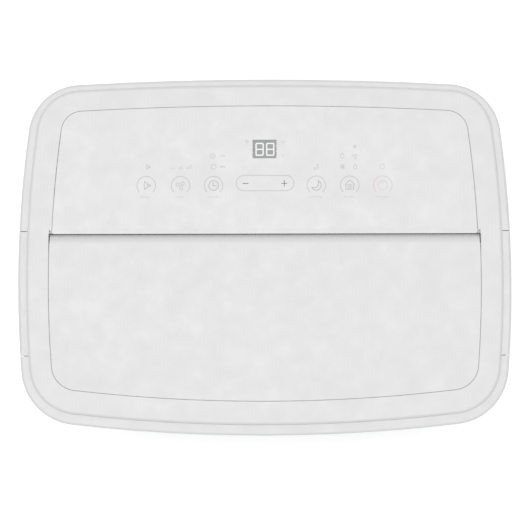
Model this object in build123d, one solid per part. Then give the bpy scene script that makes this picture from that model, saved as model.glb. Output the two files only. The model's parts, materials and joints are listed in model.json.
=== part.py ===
"""Portable air conditioner, in millimetres.

The cabinet stands on four casters. Its top holds a control panel at the rear and, in front of it,
a wide air flap that turns up about its rolled rear edge. Air is drawn in through two grilles at the
back: the upper one feeds the evaporator, the lower one the condenser, whose warm air leaves through
the round exhaust collar. +X is the user's right, +Y the rear, +Z up, and the origin is on the floor,
below the middle of the cabinet.
"""

import math
import os

from build123d import *

# ---- driving dimensions -------------------------------------------------------------------------
WIDTH, DEPTH, HEIGHT = 432.0, 312.0, 695.0
WALL = 2.5  # moulded shell thickness
RUN = 0.08  # radial clearance of a pin or shaft in its hole

# plan outline: four large arcs meeting in rounded corners
FRONT_ARC, REAR_ARC, SIDE_ARC = 1460.0, 3000.0, 1000.0
WIDEST_Y = -25.0
FRONT_CORNER, REAR_CORNER = 50.0, 46.0

# levels
FLOOR_GAP = 44.0  # underside of the base pan
JACKET_Z = 50.0  # lower edge of the outer shells
SHOULDER_Z = 688.5  # upper edge of the outer shells
SHOULDER_R = 2.2
FACE_Z = HEIGHT - 0.6  # top of the flap and of the control panel
FRAME_Z = 679.0  # underside of the top frame
DECK_Z = 392.0  # underside of the deck between the cold and the warm half
DECK_TOP = DECK_Z + 3.0

# parting lines of the outer shells
FRONT_SPLIT_Y, REAR_SPLIT_Y = -86.0, 23.0
SPLIT_GAP = 0.6

# top frame, as insets from the cabinet outline; the frame sits a little to the rear
RIM_INSET, RIM_SHIFT = 7.5, 2.0
RIM_GAP = 0.15
RIM_ROLL = 2.4
FLAP_SIDE, FLAP_FRONT = 19.2, 20.5
PANEL_SIDE, PANEL_REAR = 21.2, 18.0
FLAP_GAP = 0.15
PANEL_GAP = 0.12

# flap hinge
PANEL_FRONT_Y = 20.6
BAND_Y, BAND_DROP = 24.2, 0.3  # the panel's front edge is a low step
CORNER_CUT = 3.9
ROLL_R, ROLL_GAP = 8.5, 0.1
HINGE_Y = PANEL_FRONT_Y - ROLL_GAP - ROLL_R
HINGE_Z = FACE_Z - ROLL_R
FLAP_SKIN = 2.6
FLARE_Y = HINGE_Y - 8  # from here back the opening keeps its width, for the rising flap
FLAP_PIN_R, MOTOR_SHAFT_R = 3.0, 2.5

# touch keys and display on the control panel
KEY_X = (45.0, 74.0, 103.5)
KEY_Y, PILL_Y, PILL_KEY_X = 62.7, 64.9, 20.5
DISPLAY_Y, DISPLAY_W, DISPLAY_L = 94.6, 20.6, 15.8

# outlet duct and its vanes
DUCT_Z, DUCT_WALL = 612.0, 2.2
DUCT_REAR_Y = 0.6
VANE_PITCH, VANE_COUNT = 64.0, 5
VANE_Z = 650.0
VANE_FRONT_Y, VANE_REAR_Y = -102.4, -2.2
VANE_CRANK = 10.0
VANE_LINK_Y = -59.0
VANE_PIN_R = 2.0

# blowers: (axis x, axis z, wheel radius, scroll start and end radius, scroll top, front y, rear y)
UPPER = dict(x=0.0, z=505.0, wheel=76.0, start=84.0, end=118.0, top=DUCT_Z, front=-74.0, rear=-2.0)
LOWER = dict(x=50.0, z=190.0, wheel=64.0, start=71.0, end=98.0, top=292.0, front=-8.0, rear=60.0)
SHEET = 2.2
SHAFT_R = 4.0

# heat exchangers: (z low, z high), both share their width and place behind the rear grilles
COIL_HALF, COIL_FRONT_Y, COIL_DEPTH = 145.0, 98.0, 28.0
EVAPORATOR_Z = (404.0, 596.0)
CONDENSER_Z = (87.0, 239.0)
FIN_PITCH, FIN_THICK = 5.0, 1.4

# rear openings
WINDOW_HALF = 150.0
UPPER_WINDOW, LOWER_WINDOW = (406.0, 610.0), (86.0, 238.0)
EXHAUST_X, EXHAUST_Z, EXHAUST_R = 60.0, 319.5, 67.0
EXHAUST_WALL = 3.0
CORD_X, CORD_Z, CORD_R = -130.0, 320.0, 4.2
DRAIN_R = 6.0
UPPER_DRAIN = (-60.0, 380.0)
LOWER_DRAIN = (-120.0, 68.0)
SCREW_X, SCREW_Z = 158.0, (68.0, 384.0, 664.0)
SCREW_SEAT_Y = 148.9  # floor of the recess that each head sits in

# side handles
HANDLE_Y, HANDLE_Z, HANDLE_W, HANDLE_H, HANDLE_DEPTH = -31.5, 585.0, 84.0, 44.0, 27.0

# compressor
COMP_X, COMP_Y, COMP_R = -118.0, -30.0, 54.0
FOOT_R = 68.0

# casters
CASTERS = {
    "front_left": (-150.0, -95.0),
    "front_right": (150.0, -95.0),
    "rear_left": (-150.0, 100.0),
    "rear_right": (150.0, 100.0),
}
TREAD_R, TREAD_W, TRAIL = 18.0, 15.0, 9.0
AXLE_R, STEM_R = 2.5, 4.0

PARTS = {}


# ---- helpers ------------------------------------------------------------------------------------
def block(x0, x1, y0, y1, z0, z1):
    """A box between two corners."""
    return Pos((x0 + x1) / 2, (y0 + y1) / 2, (z0 + z1) / 2) * Box(x1 - x0, y1 - y0, z1 - z0)


def along_z(sketch, z0, z1):
    return extrude(Pos(0, 0, z0) * sketch, z1 - z0)


def along_y(sketch, y0, y1):
    """Sketch x is X and sketch y is Z; the solid runs from y0 to y1."""
    return extrude(Plane(origin=(0, y1, 0), x_dir=(1, 0, 0), z_dir=(0, -1, 0)) * sketch, y1 - y0)


def along_x(sketch, x0, x1):
    """Sketch x is Y and sketch y is Z; the solid runs from x0 to x1."""
    return extrude(Plane(origin=(x0, 0, 0), x_dir=(0, 1, 0), z_dir=(1, 0, 0)) * sketch, x1 - x0)


def rod_y(x, z, r, y0, y1):
    return along_y(Pos(x, z) * Circle(r), y0, y1)


def rod_x(y, z, r, x0, x1):
    return along_x(Pos(y, z) * Circle(r), x0, x1)


def rod_z(x, y, r, z0, z1):
    return along_z(Pos(x, y) * Circle(r), z0, z1)


def pipe(points, radii, r):
    """A round tube, as a solid rod, along straight runs with rounded corners."""
    path = FilletPolyline(*points, radius=radii)
    return sweep(Plane(origin=path @ 0, z_dir=path % 0) * Circle(r), path=path)


def plan(side=0.0, front=None, rear=None, shift=0.0):
    """The cabinet outline from above, inset by the given amounts."""
    front = side if front is None else front
    rear = side if rear is None else rear
    side_x = SIDE_ARC - WIDTH / 2
    shape = Pos(0, shift + FRONT_ARC - DEPTH / 2) * Circle(FRONT_ARC - front)
    shape &= Pos(0, shift + DEPTH / 2 - REAR_ARC) * Circle(REAR_ARC - rear)
    shape &= Pos(side_x, shift + WIDEST_Y) * Circle(SIDE_ARC - side)
    shape &= Pos(-side_x, shift + WIDEST_Y) * Circle(SIDE_ARC - side)
    front_r = FRONT_CORNER - (side + front) / 2
    rear_r = REAR_CORNER - (side + rear) / 2
    shape = fillet([v for v in shape.vertices() if v.Y < 0], front_r)
    return fillet(shape.vertices().sort_by(Axis.Y)[-2:], rear_r)


def rim_plan(inset=0.0):
    return plan(RIM_INSET + inset, shift=RIM_SHIFT)


def flap_plan(inset=0.0):
    return plan(
        RIM_INSET + FLAP_SIDE + inset,
        front=RIM_INSET + FLAP_FRONT + inset,
        rear=RIM_INSET + inset,
        shift=RIM_SHIFT,
    )


def panel_plan(inset=0.0):
    side = RIM_INSET + PANEL_SIDE + inset
    return plan(side, rear=RIM_INSET + PANEL_REAR + inset, shift=RIM_SHIFT)


def flap_flare(z0):
    """The room beside the flap's hinge: as wide as the opening is at FLARE_Y, up to the panel."""
    radius = SIDE_ARC - RIM_INSET - FLAP_SIDE
    reach = FLARE_Y - (RIM_SHIFT + WIDEST_Y)
    x = (radius**2 - reach**2) ** 0.5 - (SIDE_ARC - WIDTH / 2)
    return block(-x, x, FLARE_Y - 4, PANEL_FRONT_Y, z0, HEIGHT + 1)


def corner_wedges(z0):
    """Two upright wedges that open the slot's ends at the panel's front corners."""
    x, y = WIDTH / 2 - RIM_INSET - FLAP_SIDE - 1.0, PANEL_FRONT_Y - 0.4
    wedge = Polygon((x - CORNER_CUT, y), (x, y), (x, y + CORNER_CUT), align=None)
    wedge = along_z(wedge, z0, HEIGHT + 1)
    return wedge + mirror(wedge, Plane.YZ)


def behind(y):
    return block(-300, 300, y, 300, -10, 800)


def ahead_of(y):
    return block(-300, 300, -300, y, -10, 800)


# ---- outer shells -------------------------------------------------------------------------------
def jacket():
    """All four outer shells as one ring with a rounded shoulder."""
    outer = along_z(plan(), JACKET_Z, SHOULDER_Z)
    outer = fillet(outer.faces().sort_by(Axis.Z)[-1].edges(), SHOULDER_R)
    outer = chamfer(outer.faces().sort_by(Axis.Z)[0].edges(), 1.0)
    inside = along_z(plan(WALL), JACKET_Z - 1, SHOULDER_Z - 4)
    mouth = along_z(rim_plan(-RIM_GAP), SHOULDER_Z - 10, SHOULDER_Z + 1)
    return outer - inside - mouth


def window(z_range, grow=0.0):
    low, high = z_range
    sketch = RectangleRounded(2 * (WINDOW_HALF + grow), high - low + 2 * grow, 6 + grow)
    return along_y(Pos(0, (low + high) / 2) * sketch, 120, 170)


def rear_shell(ring):
    shell = ring & behind(REAR_SPLIT_Y + SPLIT_GAP / 2)
    shell -= window(UPPER_WINDOW, 0.4)
    shell -= window(LOWER_WINDOW, 0.4)
    shell -= rod_y(EXHAUST_X, EXHAUST_Z, EXHAUST_R + EXHAUST_WALL + 0.6, 120, 170)
    shell -= rod_y(CORD_X, CORD_Z, CORD_R + 5, 120, 170)
    for x, z in (UPPER_DRAIN, LOWER_DRAIN):
        shell -= rod_y(x, z, 12, 120, 170)
    for z in SCREW_Z:
        for x in (-SCREW_X, SCREW_X):
            shell += rod_y(x, z, 6.4, SCREW_SEAT_Y - 1.6, SCREW_SEAT_Y + 1.4)
            shell -= rod_y(x, z, 4.4, SCREW_SEAT_Y, 170)
            shell -= rod_y(x, z, 2.3, 120, 170)
    return shell


def side_panel(ring, sign):
    """A side panel with tongues that run behind the front and rear shells."""
    low, high = FRONT_SPLIT_Y + SPLIT_GAP / 2, REAR_SPLIT_Y - SPLIT_GAP / 2
    half = block(0, 300, low, high, 0, 800) if sign > 0 else block(-300, 0, low, high, 0, 800)
    panel = ring & half
    tongue_z = (JACKET_Z + 6, SHOULDER_Z - 12.5)
    root = (along_z(plan(WALL - 0.2), *tongue_z) - along_z(plan(4.6), *tongue_z)) & half
    long_half = half + Pos(0, 8, 0) * half + Pos(0, -8, 0) * half
    strip = (along_z(plan(WALL + 0.35), *tongue_z) - along_z(plan(4.6), *tongue_z)) & long_half
    panel = panel + root + strip
    hole = Pos(HANDLE_Y, HANDLE_Z) * RectangleRounded(HANDLE_W + 0.8, HANDLE_H + 0.8, 6)
    x_span = (170, 230) if sign > 0 else (-230, -170)
    return panel - along_x(hole, *x_span)


def handle_cup(sign):
    """A moulded cup: the hand goes in, and the fingers hook up behind its upper lip."""
    face, back = WIDTH / 2 + 1, WIDTH / 2 - HANDLE_DEPTH
    body = along_x(Pos(HANDLE_Y, HANDLE_Z) * RectangleRounded(HANDLE_W, HANDLE_H, 9), back, face)
    body += along_x(
        Pos(HANDLE_Y, HANDLE_Z + HANDLE_H / 2 + 2) * RectangleRounded(HANDLE_W, 20, 6), back, back + 15
    )
    cavity = along_x(
        Pos(HANDLE_Y, HANDLE_Z) * RectangleRounded(HANDLE_W - 5, HANDLE_H - 5, 6.5), back + 2.2, face + 1
    )
    cavity += along_x(
        Pos(HANDLE_Y, HANDLE_Z + HANDLE_H / 2 + 2) * RectangleRounded(HANDLE_W - 5, 15.5, 4),
        back + 2.2,
        back + 12.8,
    )
    cup = (body - cavity) & along_z(plan(0.3), JACKET_Z, SHOULDER_Z)
    return cup if sign > 0 else mirror(cup, Plane.YZ)


def base_pan():
    """The tray that carries everything: floor, wall, caster sockets, stud pads and drain boss."""
    pan = along_z(plan(5.2), FLOOR_GAP, FLOOR_GAP + 40)
    pan = fillet(pan.faces().sort_by(Axis.Z)[0].edges(), 4)
    pan -= along_z(plan(5.2 + WALL), FLOOR_GAP + 3, FLOOR_GAP + 41)
    floor = FLOOR_GAP + 3
    for x, y in CASTERS.values():
        pan += rod_z(x, y, 9, floor - 1, floor + 24)
    x, z = LOWER_DRAIN
    pan += rod_y(x, z, 9, 132, 149.4)
    pan -= rod_y(x, z, DRAIN_R, 120, 160)
    for x in (-SCREW_X, SCREW_X):
        pan += block(x - 6, x + 6, 138, 146, floor - 1, SCREW_Z[0] + 7)
        pan -= rod_y(x, SCREW_Z[0], 2.0, 130, 160)
    for x in (-100, 0, 100):
        pan += block(x - 3, x + 3, COIL_FRONT_Y, COIL_FRONT_Y + COIL_DEPTH, floor - 1, CONDENSER_Z[0])
    for x in (LOWER["x"] - 16, LOWER["x"] + 16):
        pan += block(x - 1.5, x + 1.5, LOWER["front"] + 4, LOWER["rear"] - 4, floor - 1, 100)
    for x, y in CASTERS.values():
        pan -= rod_z(x, y, STEM_R + RUN, FLOOR_GAP - 1, floor + 21)
    return pan


# ---- top ----------------------------------------------------------------------------------------
def top_frame():
    """The rim round the flap and the control panel, with the gutter that the flap's roll turns in."""
    body = along_z(rim_plan(), FRAME_Z + 4.4, HEIGHT)
    body = fillet(body.faces().sort_by(Axis.Z)[-1].edges(), RIM_ROLL)
    body += along_z(plan(WALL + 2.5), FRAME_Z, FRAME_Z + 4.5)
    floor_z = FACE_Z - FLAP_SKIN - 3.8
    flap_hole = along_z(flap_plan(), floor_z, HEIGHT + 1) & ahead_of(PANEL_FRONT_Y)
    panel_hole = along_z(panel_plan(), FACE_Z - 3.6, HEIGHT + 1) & behind(PANEL_FRONT_Y - 0.1)
    opening = (flap_hole + panel_hole + flap_flare(floor_z) + corner_wedges(floor_z)).clean()
    body -= opening
    skirt_half = WIDTH / 2 - RIM_INSET - PANEL_SIDE - 1.6
    body -= block(-skirt_half, skirt_half, PANEL_FRONT_Y - 1, PANEL_FRONT_Y + 2.6, FACE_Z - 6.4, HEIGHT)
    crest = [e for e in body.edges() if e.center().Z > HEIGHT - 0.01]
    body = fillet(crest, 0.5)
    # channel under the rim, so that the rim is a skin; it stops short of the hinge pins
    channel = along_z(rim_plan(WALL), FRAME_Z - 1, HEIGHT - WALL - 0.4)
    channel -= along_z(flap_plan(-WALL), FRAME_Z - 2, HEIGHT)
    channel = channel - block(-300, 0, HINGE_Y - 7, HINGE_Y + 7, 600, 700)
    body -= channel
    # throat over the outlet duct, and the well under the control panel
    gutter_y = DUCT_REAR_Y + 0.1
    body -= along_z(flap_plan(9), FRAME_Z - 1, HEIGHT) & ahead_of(gutter_y)
    body -= along_z(panel_plan(7), FRAME_Z - 1, HEIGHT) & behind(PANEL_FRONT_Y + 6)
    # gutter
    half = WIDTH / 2 - RIM_INSET - FLAP_SIDE
    beam = block(-half, half, gutter_y, PANEL_FRONT_Y + 6, FRAME_Z - 7, floor_z)
    beam -= block(-half, half, gutter_y - 1, HINGE_Y - 6, FRAME_Z + 1, floor_z + 1)
    body += beam
    body -= rod_x(HINGE_Y, HINGE_Z, ROLL_R + 0.9, -half + 0.6, half - 0.6)
    swept = along_z(flap_plan(), HINGE_Z, HEIGHT + 1) & block(-300, 300, 0, PANEL_FRONT_Y, 600, 700)
    body -= swept
    # hinge bores: the plain pin on the left, the motor shaft on the right
    body -= rod_x(HINGE_Y, HINGE_Z, FLAP_PIN_R + RUN, -half - 7.5, -half + 5)
    body -= rod_x(HINGE_Y, HINGE_Z, MOTOR_SHAFT_R + RUN, half - 5, half + 8)
    # screw bosses for the rear shell
    for x in (-SCREW_X, SCREW_X):
        body += block(x - 6, x + 6, 136, 146, SCREW_Z[2] - 7, FRAME_Z + 0.5)
        body -= rod_y(x, SCREW_Z[2], 2.0, 130, 160)
    return body


def control_panel():
    """A shallow fascia with a front skirt, a display hole and posts for the board."""
    body = along_z(panel_plan(PANEL_GAP), FACE_Z - 3.0, FACE_Z) & behind(PANEL_FRONT_Y)
    skirt_half = WIDTH / 2 - RIM_INSET - PANEL_SIDE - 2.0
    body += block(-skirt_half, skirt_half, PANEL_FRONT_Y, PANEL_FRONT_Y + 2.2, FACE_Z - 6.0, FACE_Z - 1)
    top = [e for e in body.faces().sort_by(Axis.Z)[-1].edges()]
    body = fillet(top, 0.5)
    body -= block(-300, 300, PANEL_FRONT_Y - 1, BAND_Y, FACE_Z - BAND_DROP, HEIGHT)
    body -= corner_wedges(FACE_Z - 9)
    body -= along_z(Pos(0, DISPLAY_Y) * Rectangle(DISPLAY_W + 0.3, DISPLAY_L + 0.3), 600, 700)
    for x in (-112, 112):
        for y in (46, 106):
            body += rod_z(x, y, 3, FACE_Z - 9.6, FACE_Z - 2.5)
    return body


def display_window():
    return along_z(Pos(0, DISPLAY_Y) * Rectangle(DISPLAY_W, DISPLAY_L), FACE_Z - 1.6, FACE_Z - 0.1)


def display_board():
    """The board, its two-digit module, indicator lamps and the springs of the touch keys."""
    z0 = FACE_Z - 11.2
    board = along_z(Pos(0, 76) * RectangleRounded(236, 72, 3), z0, z0 + 1.6)
    pieces = [board]
    pieces.append(along_z(Pos(0, DISPLAY_Y) * Rectangle(20, 15), z0 + 1.6, z0 + 8.6))
    coil = Helix(pitch=1.5, height=5.4, radius=3.2)
    spring = sweep(Plane(origin=coil @ 0, z_dir=coil % 0) * Circle(0.4), path=coil)
    for key_x in KEY_X:
        for sign in (-1, 1):
            pieces.append(Pos(sign * key_x, KEY_Y, z0 + 2.2) * spring)
            pieces.append(block(sign * key_x - 1, sign * key_x + 1, 78, 80, z0 + 1.6, z0 + 3.4))
    for sign in (-1, 1):
        pieces.append(Pos(sign * PILL_KEY_X, PILL_Y, z0 + 2.2) * spring)
    pieces.append(block(80, 96, 94, 104, z0 - 6, z0))
    return pieces


def louver_flap():
    """The air flap: a skin with a rolled rear edge, end cheeks, a stiffening lip and a pivot pin."""
    skin = along_z(flap_plan(FLAP_GAP), FACE_Z - FLAP_SKIN, FACE_Z) & ahead_of(HINGE_Y)
    outline = [e for e in skin.faces().sort_by(Axis.Z)[-1].edges() if e.center().Y < HINGE_Y - 0.1]
    skin = fillet(outline, 0.5)
    lip = along_z(flap_plan(5), FACE_Z - FLAP_SKIN - 3.0, FACE_Z - 1)
    lip -= along_z(flap_plan(7), FACE_Z - FLAP_SKIN - 4, FACE_Z)
    lip = lip & ahead_of(HINGE_Y - 16)
    ribs = [block(x - 0.8, x + 0.8, -112, HINGE_Y - 14, FACE_Z - 5, FACE_Z - 1) for x in range(-150, 151, 50)]
    half = WIDTH / 2 - RIM_INSET - FLAP_SIDE - FLAP_GAP - 1.2
    quarter = along_x(Pos(HINGE_Y, HINGE_Z) * Circle(ROLL_R), -half, half)
    quarter -= block(-300, 300, HINGE_Y - 20, HINGE_Y, HINGE_Z - 20, HINGE_Z + 20)
    keep = Pos(0, HINGE_Y, HINGE_Z) * Rot(25, 0, 0) * block(-300, 300, -20, 20, -20, 0)
    hollow = along_x(Pos(HINGE_Y, HINGE_Z) * Circle(ROLL_R - 2.4), -half + 3, half - 3)
    quarter = quarter - (keep - block(-300, 300, -300, 300, HINGE_Z, 900)) - hollow
    cheek_l = rod_x(HINGE_Y, HINGE_Z, 6.4, -half, -half + 3)
    cheek_r = rod_x(HINGE_Y, HINGE_Z, 6.4, half - 9, half)
    pin = rod_x(HINGE_Y, HINGE_Z, FLAP_PIN_R, -half - 7, -half + 1)
    flap = skin + lip + quarter + cheek_l + cheek_r + pin
    for rib in ribs:
        flap += rib
    for x0, x1 in ((-half - 1, -half + 8.5), (half - 8.5, half + 1)):
        flap -= block(x0, x1, HINGE_Y + 4.6, HINGE_Y + 6.0, HINGE_Z + 4.6, HEIGHT)
    return flap - rod_x(HINGE_Y, HINGE_Z, MOTOR_SHAFT_R, half - 7, half + 1)


def louver_motor():
    """A small geared stepper beside the flap; its shaft sits off the body's centre."""
    x0 = WIDTH / 2 - RIM_INSET - FLAP_SIDE + WALL + 0.4
    body = rod_x(HINGE_Y, HINGE_Z - 5.4, 9.8, x0, x0 + 11.8)
    body += block(x0, x0 + 1.2, HINGE_Y - 15, HINGE_Y + 15, HINGE_Z - 8.5, HINGE_Z - 2.5)
    return body - rod_x(HINGE_Y, HINGE_Z, MOTOR_SHAFT_R + RUN, x0 - 1, x0 + 9)


def louver_shaft():
    x0 = WIDTH / 2 - RIM_INSET - FLAP_SIDE
    return rod_x(HINGE_Y, HINGE_Z, MOTOR_SHAFT_R, x0 - FLAP_GAP - 7.6, x0 + 10.5)


def outlet_duct():
    """The chute from the upper scroll to the flap, with a rail for the vanes' front pivots."""
    outer = along_z(flap_plan(7), DUCT_Z, FRAME_Z - 0.2) & ahead_of(DUCT_REAR_Y)
    inner = along_z(flap_plan(7 + DUCT_WALL), DUCT_Z + DUCT_WALL, FRAME_Z + 1)
    duct = outer - (inner & ahead_of(DUCT_REAR_Y - DUCT_WALL))
    left = UPPER["x"] + UPPER["start"] * math.cos(math.radians(50)) + SHEET
    right = UPPER["x"] + UPPER["end"] - SHEET
    duct -= block(left, right, UPPER["front"] + SHEET, UPPER["rear"] - SHEET, DUCT_Z - 1, DUCT_Z + 5)
    rail_y = VANE_FRONT_Y - 0.5
    duct += block(-172, 172, rail_y - 2.6, rail_y, VANE_Z - 8, VANE_Z + 6)
    for i in range(VANE_COUNT):
        duct -= rod_y(vane_x(i), VANE_Z, VANE_PIN_R + RUN, rail_y - 4, DUCT_REAR_Y + 1)
    return duct


def vane_x(i):
    return VANE_PITCH * (i - (VANE_COUNT - 1) / 2)


def air_vane(i):
    """One upright vane on a fore-and-aft pivot, with a crank pin below it for the tie bar."""
    x = vane_x(i)
    outline = Pos((VANE_FRONT_Y + VANE_REAR_Y) / 2, VANE_Z + 8) * RectangleRounded(
        VANE_REAR_Y - VANE_FRONT_Y, 29, 4
    )
    vane = along_x(outline, x - 0.9, x + 0.9)
    vane -= block(x - 2, x + 2, VANE_LINK_Y - 5, VANE_LINK_Y + 5, VANE_Z - 7, VANE_Z - 2.4)
    vane += rod_y(x, VANE_Z, VANE_PIN_R, VANE_FRONT_Y - 2.6, VANE_FRONT_Y + 6)
    vane += rod_y(x, VANE_Z, VANE_PIN_R, VANE_REAR_Y - 6, VANE_REAR_Y + 2.2)
    ear_y = VANE_LINK_Y - 4.9
    vane += block(x - 2.2, x + 2.2, ear_y - 2.4, ear_y, VANE_Z - VANE_CRANK - 2.4, VANE_Z - 1)
    return vane + rod_y(x, VANE_Z - VANE_CRANK, 1.5, ear_y - 1, VANE_LINK_Y + 3)


def vane_tie_bar():
    z = VANE_Z - VANE_CRANK
    half = vane_x(VANE_COUNT - 1) + 4
    bar = block(-half, half, VANE_LINK_Y - 1.5, VANE_LINK_Y + 1.5, z - 3.4, z + 3.4)
    for i in range(VANE_COUNT):
        bar -= rod_y(vane_x(i), z, 1.5 + RUN, VANE_LINK_Y - 5, VANE_LINK_Y + 5)
    return bar


# ---- blowers ------------------------------------------------------------------------------------
def scroll_face(fan, wall):
    """A spiral that widens anticlockwise into an upward outlet; wall 0 is the outside."""
    first, last = 50, 360
    points = []
    for degrees in range(first, last + 1, 31):
        r = fan["start"] + (fan["end"] - fan["start"]) * (degrees - first) / (last - first) - wall
        angle = math.radians(degrees)
        points.append((fan["x"] + r * math.cos(angle), fan["z"] + r * math.sin(angle)))
    right = fan["x"] + fan["end"] - wall
    tongue = fan["x"] + fan["start"] * math.cos(math.radians(first)) + wall
    top = fan["top"] + (1 if wall else 0)
    lines = [Spline(*points), Line(points[-1], (right, top)), Line((right, top), (tongue, top))]
    if wall:
        lines += [Line((tongue, top), (tongue, points[0][1])), Line((tongue, points[0][1]), points[0])]
    else:
        lines.append(Line((tongue, top), points[0]))
    return make_face(lines)


def scroll(fan):
    """The scroll's wall and front plate, with a hole for the motor shaft."""
    y0, y1 = fan["front"], fan["rear"]
    body = along_y(scroll_face(fan, 0), y0, y1 - SHEET)
    body -= along_y(scroll_face(fan, SHEET), y0 + SHEET, y1)
    return body - rod_y(fan["x"], fan["z"], 12, y0 - 1, y0 + SHEET + 1)


def scroll_cover(fan):
    """The scroll's rear plate with its round inlet and bell mouth."""
    y1 = fan["rear"]
    inlet = fan["wheel"] * 0.84
    body = along_y(scroll_face(fan, 0), y1 - SHEET + 0.1, y1)
    body += rod_y(fan["x"], fan["z"], inlet + 6, y1 - 1, y1 + 7)
    body -= rod_y(fan["x"], fan["z"], inlet, y1 - 10, y1 + 10)
    rim = [e for e in body.edges().filter_by(GeomType.CIRCLE) if e.center().Y > y1 + 6.9]
    return fillet(rim, 2.6)


def blower_wheel(fan, blades):
    """A forward-curved wheel: back disc, blades and front ring, on its shaft."""
    y0, y1 = fan["front"] + SHEET + 3, fan["rear"] - SHEET - 3
    radius = fan["wheel"]
    inner = radius * 0.82
    blade = make_face(
        [
            ThreePointArc((inner, 0), ((inner + radius) / 2, 3.2), (radius - 0.4, 1.0)),
            Line((radius - 0.4, 1.0), (radius - 0.4, 2.6)),
            ThreePointArc((radius - 0.4, 2.6), ((inner + radius) / 2, 4.7), (inner, 1.5)),
            Line((inner, 1.5), (inner, 0)),
        ]
    )
    row = Sketch() + [Rot(0, 0, 360 / blades * i) * blade for i in range(blades)]
    wheel = along_y(Pos(fan["x"], fan["z"]) * row, y0 + 1, y1 - 1)
    disc = rod_y(fan["x"], fan["z"], radius, y0, y0 + 2.4) + rod_y(fan["x"], fan["z"], 13, y0, y0 + 22)
    disc -= rod_y(fan["x"], fan["z"], SHAFT_R, y0 - 1, y0 + 23)
    ring = rod_y(fan["x"], fan["z"], radius, y1 - 3, y1) - rod_y(fan["x"], fan["z"], inner, y1 - 4, y1 + 1)
    wheel = disc + ring + wheel
    shaft = rod_y(fan["x"], fan["z"], SHAFT_R, fan["front"] - 30, y0 + 22)
    return [wheel, shaft]


def motor(fan, radius, length):
    """A finned round motor with a flange, in front of its scroll."""
    y1 = fan["front"] - 0.2
    body = rod_y(fan["x"], fan["z"], radius, y1 - length, y1 - 4)
    body = fillet(body.edges().filter_by(GeomType.CIRCLE), 4)
    body += rod_y(fan["x"], fan["z"], radius * 0.45, y1 - 5, y1)
    for i in range(4):
        arm = Pos(fan["x"], fan["z"]) * Rot(0, 0, 45 + 90 * i) * Pos(radius + 4, 0) * Rectangle(16, 9)
        body += along_y(arm, y1 - 10, y1)
    for i in range(3):
        groove = rod_y(fan["x"], fan["z"], radius + 1, y1 - 14 - 7 * i, y1 - 12 - 7 * i)
        groove -= rod_y(fan["x"], fan["z"], radius - 2, y1 - 15 - 7 * i, y1 - 11 - 7 * i)
        body -= groove
    return body - rod_y(fan["x"], fan["z"], SHAFT_R + RUN, y1 - 31, y1 + 1)


# ---- heat exchangers ----------------------------------------------------------------------------
def fin_pack(z_range):
    """Fins on a thin front web, as one comb."""
    count = int(2 * COIL_HALF / FIN_PITCH)
    web = Pos(0, COIL_FRONT_Y + 1) * Rectangle(2 * COIL_HALF, 2)
    profile = Sketch() + web
    fins = [
        Pos(-COIL_HALF + FIN_PITCH * (i + 0.5), COIL_FRONT_Y + COIL_DEPTH / 2)
        * Rectangle(FIN_THICK, COIL_DEPTH)
        for i in range(count)
    ]
    return along_z(profile + fins, *z_range)


def coil_ends(z_range, foot):
    """End plates, standing at the foot level, with the return bends that come out of them."""
    low, high = z_range
    pieces = []
    bend_r, tube_r, pitch = 6.5, 3.2, 26.0
    rows = int((high - low - 14) / pitch)
    arc = ThreePointArc((0, 0, -bend_r), (bend_r, 0, 0), (0, 0, bend_r))
    bend = sweep(Plane(origin=arc @ 0, z_dir=arc % 0) * Circle(tube_r), path=arc)
    for sign in (-1, 1):
        x0 = sign * (COIL_HALF + 0.3)
        x1 = sign * (COIL_HALF + 2.3)
        plate = block(min(x0, x1), max(x0, x1), COIL_FRONT_Y - 2, COIL_FRONT_Y + COIL_DEPTH + 2, foot, high)
        pieces.append(plate)
        for row in range(rows):
            for y in (COIL_FRONT_Y + 8, COIL_FRONT_Y + 20):
                one = bend if sign > 0 else mirror(bend, Plane.YZ)
                pieces.append(Pos(x1, y, low + 24 + pitch * row) * one)
    return pieces


def partition_deck():
    """The deck between the two halves, with the drip tray and its drain."""
    deck = along_z(plan(5.2), DECK_Z, DECK_TOP)
    deck -= block(-207, -170, 88, 126, DECK_Z - 1, DECK_TOP + 1)
    tray = block(-160, 160, COIL_FRONT_Y - 6, COIL_FRONT_Y + COIL_DEPTH + 8, DECK_TOP - 1, DECK_TOP + 8)
    tray -= block(-158, 158, COIL_FRONT_Y - 4, COIL_FRONT_Y + COIL_DEPTH + 6, DECK_TOP - 2, DECK_TOP + 9)
    deck += tray
    x, z = UPPER_DRAIN
    deck += block(x - 14, x + 14, 112, 138, z - 9, DECK_Z + 0.5)
    deck -= block(x - 12, x + 12, 114, 136, z - 7, DECK_TOP + 1)
    deck += rod_y(x, z, DRAIN_R + 2, 137, 150.5)
    deck -= rod_y(x, z, DRAIN_R, 130, 160)
    for side in (-SCREW_X, SCREW_X):
        deck += block(side - 6, side + 6, 138, 146, SCREW_Z[1] - 6, DECK_Z + 0.5)
        deck -= rod_y(side, SCREW_Z[1], 2.0, 130, 160)
    return deck


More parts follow.
